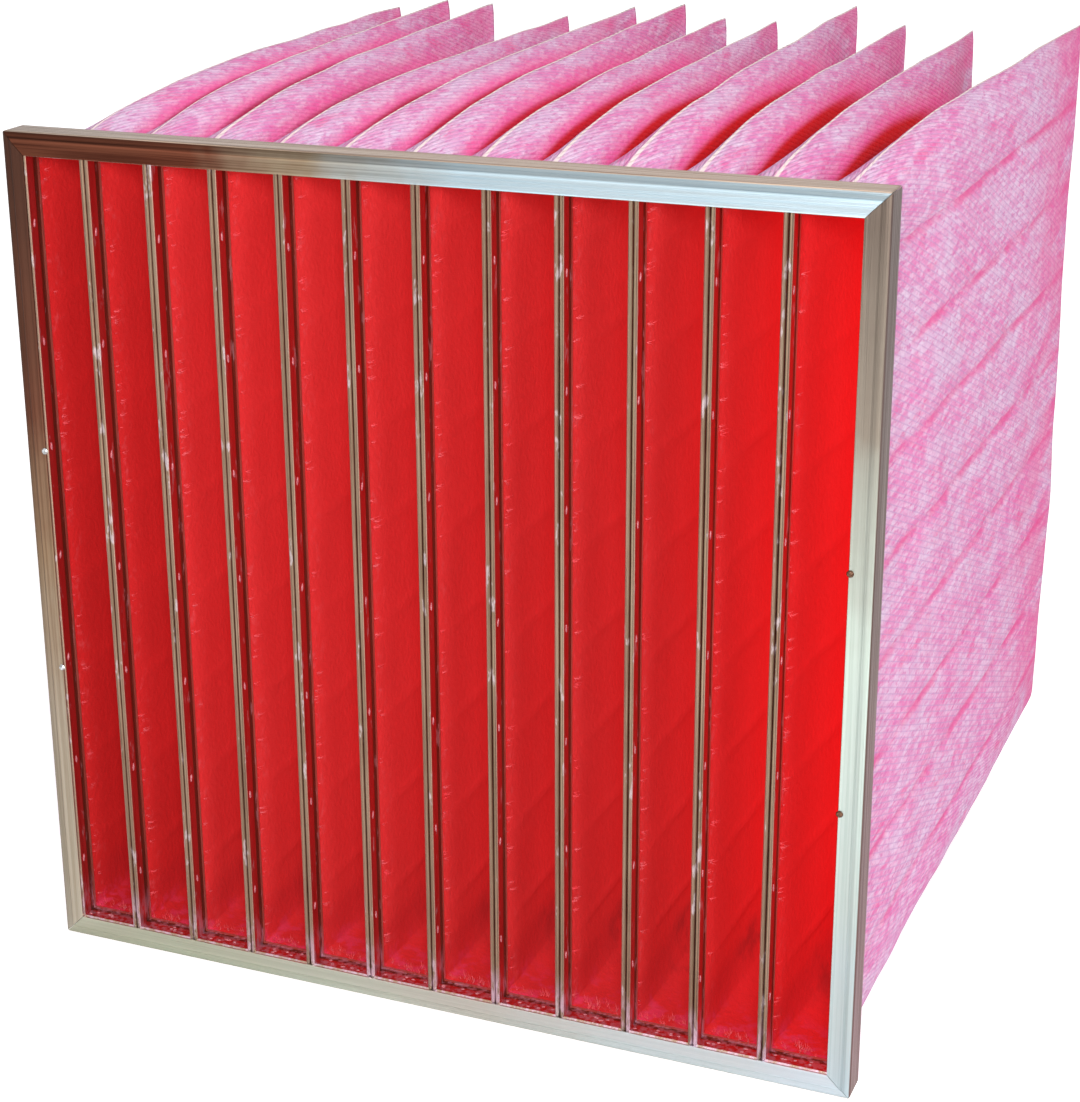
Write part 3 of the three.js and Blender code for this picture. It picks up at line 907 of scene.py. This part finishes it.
def outside_material(settings):
    """Pink medium: white fibre clouds, a pressed net, seams, painted shade in red where two pockets
    face with a little painted glow, and a painted highlight along the crest.
    """
    made, tree, shader = material("Medium outside", 0.0, 0.92)
    where = place(tree)
    cloth = node(tree, "ShaderNodeUVMap", uv_map="Cloth").outputs["UV"]
    parts = axes(tree, cloth)
    down = times(tree, parts["Y"], Pocket.SEAM_PITCH)
    flat = node(tree, "ShaderNodeCombineXYZ", {"X": parts["X"], "Y": down}).outputs[0]
    drawn = node(tree, "ShaderNodeMapping", {"Vector": where, "Scale": (1, 0.25, 1)}).outputs[0]
    clouds = cloud(tree, drawn, 0.02, 0.36, 0.66)
    clumps = cloud(tree, drawn, 0.0042, 0.4, 0.66)
    base = blended(tree, times(tree, clouds, 0.75), settings.outside, settings.outside_pale)
    base = blended(tree, times(tree, clumps, 0.55), base, tone("e6d4e6"))
    specks = cloud(tree, drawn, 0.0024, 0.5, 0.66)
    base = blended(tree, times(tree, specks, 0.68), base, tone("ca68a4"))
    hot = cloud(tree, drawn, 0.013, 0.54, 0.76)
    base = blended(tree, times(tree, hot, 0.65), base, settings.outside_deep)
    net = effect(tree, weave_group, {"Vector": flat})
    base = blended(tree, ranged(tree, net, 0.55, 0.1, 0, 0.55), base, tone("bd93bf"))
    sway = cloud(tree, drawn, 0.03, 0.2, 0.8)
    swayed = maths(tree, "ADD", parts["Y"], times(tree, sway, 0.04))
    middle = maths(tree, "SUBTRACT", maths(tree, "FRACT", maths(tree, "ADD", swayed, 0.48)), 0.5)
    away = times(tree, apart(tree, middle), Pocket.SEAM_PITCH)
    broken = cloud(tree, drawn, 0.016, 0.34, 0.64)
    seam = times(tree, ranged(tree, away, 0.0062, 0.0008), broken)
    inner = apart(tree, parts["Y"], BAYS / 2)
    seam = times(tree, seam, ranged(tree, inner, BAYS / 2 - 0.4, BAYS / 2 - 0.6))
    base = blended(tree, times(tree, seam, 0.75), base, settings.outside_deep)
    patch = cloud(tree, drawn, 0.03, 0.35, 0.6)
    far = times(tree, ranged(tree, parts["X"], 0.38, 0.6, 0, 0.6), patch)
    base = blended(tree, far, base, settings.outside_deep)
    # Painted shade where two pockets face: deeper pink, then red, duller to the left, then dark crimson
    # deepest in the gap.
    gap = node(tree, "ShaderNodeAttribute", attribute_name="gap").outputs["Fac"]
    pink_patch_and_gap_shade = ranged(tree, gap, 0.15, 0.8, 0, 0.75)
    base = blended(tree, pink_patch_and_gap_shade, base, settings.outside_deep)
    deep = ranged(tree, gap, 0.7, 1.04)
    side = axes(tree, where)["X"]
    gap_shade_colour = blended(tree, ranged(tree, side, -0.2, 0.12), tone("a82c50"), settings.between)
    base = blended(tree, deep, base, gap_shade_colour)
    base = blended(tree, ranged(tree, gap, 1.15, 1.6), base, tone("8e1430"))
    crest = node(tree, "ShaderNodeAttribute", attribute_name="crest").outputs["Fac"]
    over = ranged(tree, inner, BAYS / 2 - 0.01, BAYS / 2)
    # A painted highlight along the crest of the top seam.
    line = times(tree, ranged(tree, apart(tree, crest), 0.0028, 0.0014), over)
    base = blended(tree, times(tree, line, 0.85), base, tone("f8e4de"))
    groove = ranged(tree, apart(tree, crest, -0.0045), 0.0011, 0.0004)
    groove = times(tree, times(tree, groove, over), ranged(tree, deep, 0.3, 0))
    base = blended(tree, times(tree, groove, 0.6), base, tone("805868"))
    # Painted light: a little glow in the gap's pink shade, fading out deepest in.
    glow(tree, shader, times(tree, pink_patch_and_gap_shade, ranged(tree, gap, 1.5, 1.1, 0, 0.2)), base)
    tree.links.new(base, shader["Base Color"])
    height = maths(tree, "ADD", times(tree, clumps, 0.5), net)
    bump(tree, shader, height, 0.0006, 0.7)
    return made


def inside_material(settings):
    """Red medium seen through the mouths: lint by the hems, pink patches and painted shade on the
    floors, painted light that brightens the right pockets and glows deeper in, and painted shade in the
    far left pockets.
    """
    made, tree, shader = material("Medium inside", 0.0, 0.95)
    where = place(tree)
    cloth = node(tree, "ShaderNodeUVMap", uv_map="Cloth").outputs["UV"]
    parts = axes(tree, cloth)
    sides = axes(tree, where)
    soft = cloud(tree, where, 0.06, 0.3, 0.7)
    # Painted light and shade: a brighter red in the pockets on the right, and a darker one in the far
    # left pockets.
    right = ranged(tree, sides["X"], 0.12, 0.27)
    base = blended(tree, right, settings.inside, settings.inside_lit)
    left = ranged(tree, sides["X"], -0.18, -0.26, 0, 0.9)
    base = blended(tree, left, base, blended(tree, 0.6, base, base, "MULTIPLY"))
    base = blended(tree, times(tree, soft, 0.12), base, settings.inside_lit)
    # Painted light: the medium glows more the deeper in it lies.
    glow(tree, shader, ranged(tree, parts["X"], 0.0, 0.22, 0.04, 0.4), base)
    fluff = cloud(tree, where, 0.009, 0.52, 0.74)
    floor = ranged(tree, parts["Y"], BAYS - 0.25, BAYS - 0.05)
    pink_patch_and_gap_shade = cloud(tree, where, 0.013, 0.45, 0.62)
    hem = ranged(tree, parts["X"], 0.05, 0.0)
    floor = times(tree, times(tree, floor, pink_patch_and_gap_shade), hem)
    base = blended(tree, times(tree, floor, 0.7), base, tone("e4487c"))
    # Painted shade towards the floors, and patches of painted shadow there deeper in.
    low = ranged(tree, parts["Y"], BAYS - 0.75, BAYS - 0.35)
    shade = cloud(tree, where, 0.045, 0.42, 0.6)
    shade = times(tree, times(tree, shade, low), ranged(tree, parts["X"], 0.03, 0.12))
    base = blended(tree, times(tree, low, 0.45), base, tone("b41c24"))
    base = blended(tree, times(tree, shade, 0.85), base, tone("701a1c"))
    near = times(tree, ranged(tree, parts["X"], 0.02, -0.012), fluff)
    base = blended(tree, times(tree, near, 0.5), base, settings.lint)
    tree.links.new(base, shader["Base Color"])
    bump(tree, shader, cloud(tree, where, 0.004, 0.3, 0.7), 0.0004, 0.5)
    return made


class FILTER_OT_pockets(bpy.types.Operator):
    """Builds the twelve sewn pockets of lofted medium over their CAD solids"""

    bl_idname = "bag_filter.pockets"
    bl_label = "Build the pockets"

    def execute(self, context):
        settings = context.scene.filter_pocket
        blank = pocket_blank()
        inside = inside_material(settings)
        outside = outside_material(settings)
        pockets = [Pocket(name, settings, number) for number, name in enumerate(POCKET_NODES, 1)]
        row = [None, *pockets, None]
        for number, (name, pocket) in enumerate(zip(POCKET_NODES, pockets), 1):
            obj = own_copy(blank, name.replace("pocket", "pocket_cloth"))
            shape_pocket(obj, pocket, (row[number - 1], row[number + 1]))
            obj.data.materials.append(outside)
            obj.data.materials.append(inside)
            only(obj)
            wall = obj.modifiers.new("Wall", "SOLIDIFY")
            wall.thickness = settings.medium_thickness
            wall.offset = -1
            wall.vertex_group = "loft"
            wall.material_offset = 1
            wall.material_offset_rim = 1
            wall.use_rim = True
            bpy.ops.object.modifier_apply(modifier=wall.name)
            bpy.ops.object.shade_smooth()
            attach(obj, "root")
            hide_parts(name)
        remove(blank)
        return {"FINISHED"}


# Loose fibres.


def tuft_pattern(seed):
    """A tuft of thin curved fibres that starts at the origin and stands out towards +X."""
    draw = random.Random(seed)
    deselect_all()
    bpy.ops.mesh.primitive_cone_add(vertices=3, radius1=FIBRE_RADIUS, radius2=0, depth=1.0)
    fibre = bpy.context.object
    bpy.ops.object.mode_set(mode="EDIT")
    bpy.ops.mesh.select_all(action="SELECT")
    bpy.ops.transform.translate(value=(0, 0, 0.5))
    select_parts(fibre, "EDGE", lambda e: abs(e.verts[0].co.z - e.verts[1].co.z) > 0.5)
    bpy.ops.mesh.subdivide(number_cuts=3)
    bpy.ops.object.mode_set(mode="OBJECT")
    places = []
    for _ in range(FIBRES):
        length = draw.uniform(2.0, 6.5) * MM
        turn = Matrix.Rotation(draw.uniform(-2.6, 2.6), 4, "X")
        lay = Matrix.Rotation(draw.uniform(0.7, 1.5), 4, "Y")
        places.append(turn @ lay @ Matrix.Diagonal((1, 1, length, 1)))
    tuft = gathered(fibre, places, f"tuft_pattern_{seed}")
    for v in tuft.data.vertices:
        curl = v.co.length / (5 * MM)
        v.co.z += 1.2 * MM * curl * curl * math.sin(v.co.y * 900)
    remove(fibre)
    return tuft


class FILTER_OT_lint(bpy.types.Operator):
    """Adds the loose pink fibres that stand out of the hems inside each mouth"""

    bl_idname = "bag_filter.lint"
    bl_label = "Add the lint"

    def execute(self, context):
        colour = tuple(context.scene.filter_pocket.lint)
        made, tree, shader = material("Lint", 0.0, 0.9)
        speck = cloud(tree, place(tree), 0.01, 0.35, 0.7)
        tree.links.new(blended(tree, speck, colour, tone("e8404c")), shader["Base Color"])
        bump(tree, shader, speck, 0.0001)
        patterns = [tuft_pattern(seed) for seed in (3, 8)]
        for number, name in enumerate(FRAME_NODES, 1):
            draw = random.Random(100 + number)
            low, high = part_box(name)
            inside = 2.4 * MM
            places = {0: [], 1: []}
            for _ in range(TUFTS_AT_SIDE):
                z = draw.uniform(low.z + 8 * MM, high.z - 8 * MM)
                y = high.y + draw.uniform(1.0, 7.0) * MM
                for x, turn in ((low.x + inside, 0.0), (high.x - inside, math.pi)):
                    facing = Matrix.Rotation(turn, 4, "Z")
                    size = Matrix.Scale(draw.uniform(0.5, 1.2), 4)
                    places[draw.randrange(2)].append(Matrix.Translation((x, y, z)) @ facing @ size)
            for _ in range(TUFTS_AT_BOTTOM):
                x = draw.uniform(low.x + 4 * MM, high.x - 4 * MM)
                y = high.y + draw.uniform(0.5, 8.0) * MM
                facing = Matrix.Rotation(-math.pi / 2, 4, "Y")
                size = Matrix.Scale(draw.uniform(0.7, 1.3), 4)
                at = Matrix.Translation((x, y, low.z + inside))
                places[draw.randrange(2)].append(at @ facing @ size)
            tufts = [gathered(p, places[i], f"lint_{number:02d}_{i}") for i, p in enumerate(patterns)]
            only(tufts[0])
            tufts[1].select_set(True)
            bpy.ops.object.join()
            lint = bpy.context.object
            lint.name = f"lint_{number:02d}"
            lint.data.materials.append(made)
            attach(lint, "root")
        for pattern in patterns:
            remove(pattern)
        return {"FINISHED"}


# The stage.


def aim(obj, place_at, target, roll=0.0):
    """Places a lamp or camera and turns it to a target, rolled about its own line of sight."""
    back = (Vector(place_at) - Vector(target)).normalized()
    right = (-back).cross(Vector((0, 0, 1))).normalized()
    up = right.cross(-back)
    turned_right = right * math.cos(roll) + up * math.sin(roll)
    turned_up = up * math.cos(roll) - right * math.sin(roll)
    rows = [(turned_right[i], turned_up[i], back[i], place_at[i]) for i in range(3)]
    obj.matrix_world = Matrix(rows + [(0, 0, 0, 1)])


def soft_sun(name, azimuth, elevation, strength, angle):
    lamp = bpy.data.lights.new(name, "SUN")
    lamp.energy = strength
    lamp.angle = math.radians(angle)
    obj = bpy.data.objects.new(name, lamp)
    bpy.context.scene.collection.objects.link(obj)
    a, e = math.radians(azimuth), math.radians(elevation)
    towards = Vector((math.sin(a) * math.cos(e), -math.cos(a) * math.cos(e), math.sin(e)))
    aim(obj, towards * 3, (0, 0, 0))


def white_for_camera(tree, lit, white):
    """Mixes a lit shader with a white one that only camera, glossy and transmission rays see."""
    path = node(tree, "ShaderNodeLightPath").outputs
    seen = maths(tree, "MAXIMUM", path["Is Camera Ray"], path["Is Glossy Ray"])
    seen = maths(tree, "MAXIMUM", seen, path["Is Transmission Ray"])
    return node(tree, "ShaderNodeMixShader", {0: seen, 1: lit, 2: white}).outputs[0]


class FILTER_OT_stage(bpy.types.Operator):
    """Sets up the pale floor, white surroundings, soft lights and the camera"""

    bl_idname = "bag_filter.stage"
    bl_label = "Set up the stage"

    def execute(self, context):
        scene = context.scene
        settings = scene.filter_stage
        deselect_all()
        bpy.ops.mesh.primitive_circle_add(
            vertices=96,
            radius=FLOOR_RADIUS,
            fill_type="NGON",
            location=(0, 0.3, CAD_LOW.z - 0.4 * MM),
        )
        floor = bpy.context.object
        floor.name = "floor"
        made, tree, shader = material("Pale floor", 0.0, 0.9)
        shader["Base Color"].default_value = (FLOOR_GREY, FLOOR_GREY, FLOOR_GREY, 1)
        lift = node(tree, "ShaderNodeLightPath").outputs["Is Camera Ray"]
        shader["Emission Color"].default_value = (1, 1, 1, 1)
        tree.links.new(times(tree, lift, FLOOR_LIFT), shader["Emission Strength"])
        floor.data.materials.append(made)

        world = bpy.data.worlds.new("Studio")
        world.use_nodes = True
        tree = world.node_tree
        tree.nodes.clear()
        lit = node(tree, "ShaderNodeBackground", {"Strength": settings.ambient}).outputs[0]
        white = node(tree, "ShaderNodeBackground", {"Strength": 1.0}).outputs[0]
        for background in (lit.node, white.node):
            background.inputs["Color"].default_value = (1, 1, 1, 1)
        out = node(tree, "ShaderNodeOutputWorld")
        tree.links.new(white_for_camera(tree, lit, white), out.inputs["Surface"])
        scene.world = world

        lamp = bpy.data.lights.new("key_light", "AREA")
        lamp.shape = "DISK"
        lamp.size = KEY_SIZE
        lamp.energy = settings.key
        key = bpy.data.objects.new("key_light", lamp)
        scene.collection.objects.link(key)
        aim(key, KEY_AT, KEY_AIM)
        soft_sun("side_light", 62, 35, settings.side, 30)
        soft_sun("back_light_left", 215, 40, settings.back, 40)
        soft_sun("back_light_right", 130, 40, settings.back, 40)

        camera = bpy.data.cameras.new("camera")
        camera.lens = settings.lens
        camera.sensor_width = 36
        camera.shift_x, camera.shift_y = CAMERA_SHIFT
        obj = bpy.data.objects.new("camera", camera)
        scene.collection.objects.link(obj)
        aim(obj, CAMERA_AT, CAMERA_AIM, math.radians(CAMERA_ROLL))
        scene.camera = obj
        scene.view_settings.view_transform = "Standard"
        return {"FINISHED"}


class FILTER_PT_panel(bpy.types.Panel):
    bl_label = "Bag air filter"
    bl_space_type = "VIEW_3D"
    bl_region_type = "UI"
    bl_category = "Bag filter"

    def draw(self, context):
        scene = context.scene
        for operator in OPERATORS:
            self.layout.operator(operator.bl_idname)
        for group in (scene.filter_pocket, scene.filter_steel, scene.filter_stage):
            box = self.layout.box()
            for name in group.bl_rna.properties.keys():
                if name not in ("rna_type", "name"):
                    box.prop(group, name)


OPERATORS = (
    FILTER_OT_header,
    FILTER_OT_frames,
    FILTER_OT_rivets,
    FILTER_OT_pockets,
    FILTER_OT_lint,
    FILTER_OT_stage,
)
SETTINGS = {
    "filter_pocket": FilterPocketSettings,
    "filter_steel": FilterSteelSettings,
    "filter_stage": FilterStageSettings,
}
CLASSES = (*SETTINGS.values(), *OPERATORS, FILTER_PT_panel)


def register():
    for made in CLASSES:
        bpy.utils.register_class(made)
    for name, group in SETTINGS.items():
        setattr(bpy.types.Scene, name, bpy.props.PointerProperty(type=group))


def unregister():
    for name in SETTINGS:
        delattr(bpy.types.Scene, name)
    for made in reversed(CLASSES):
        bpy.utils.unregister_class(made)


def main():
    register()
    bpy.ops.bag_filter.header()
    bpy.ops.bag_filter.frames()
    bpy.ops.bag_filter.rivets()
    bpy.ops.bag_filter.pockets()
    bpy.ops.bag_filter.lint()
    bpy.ops.bag_filter.stage()


if __name__ == "__main__":
    main()
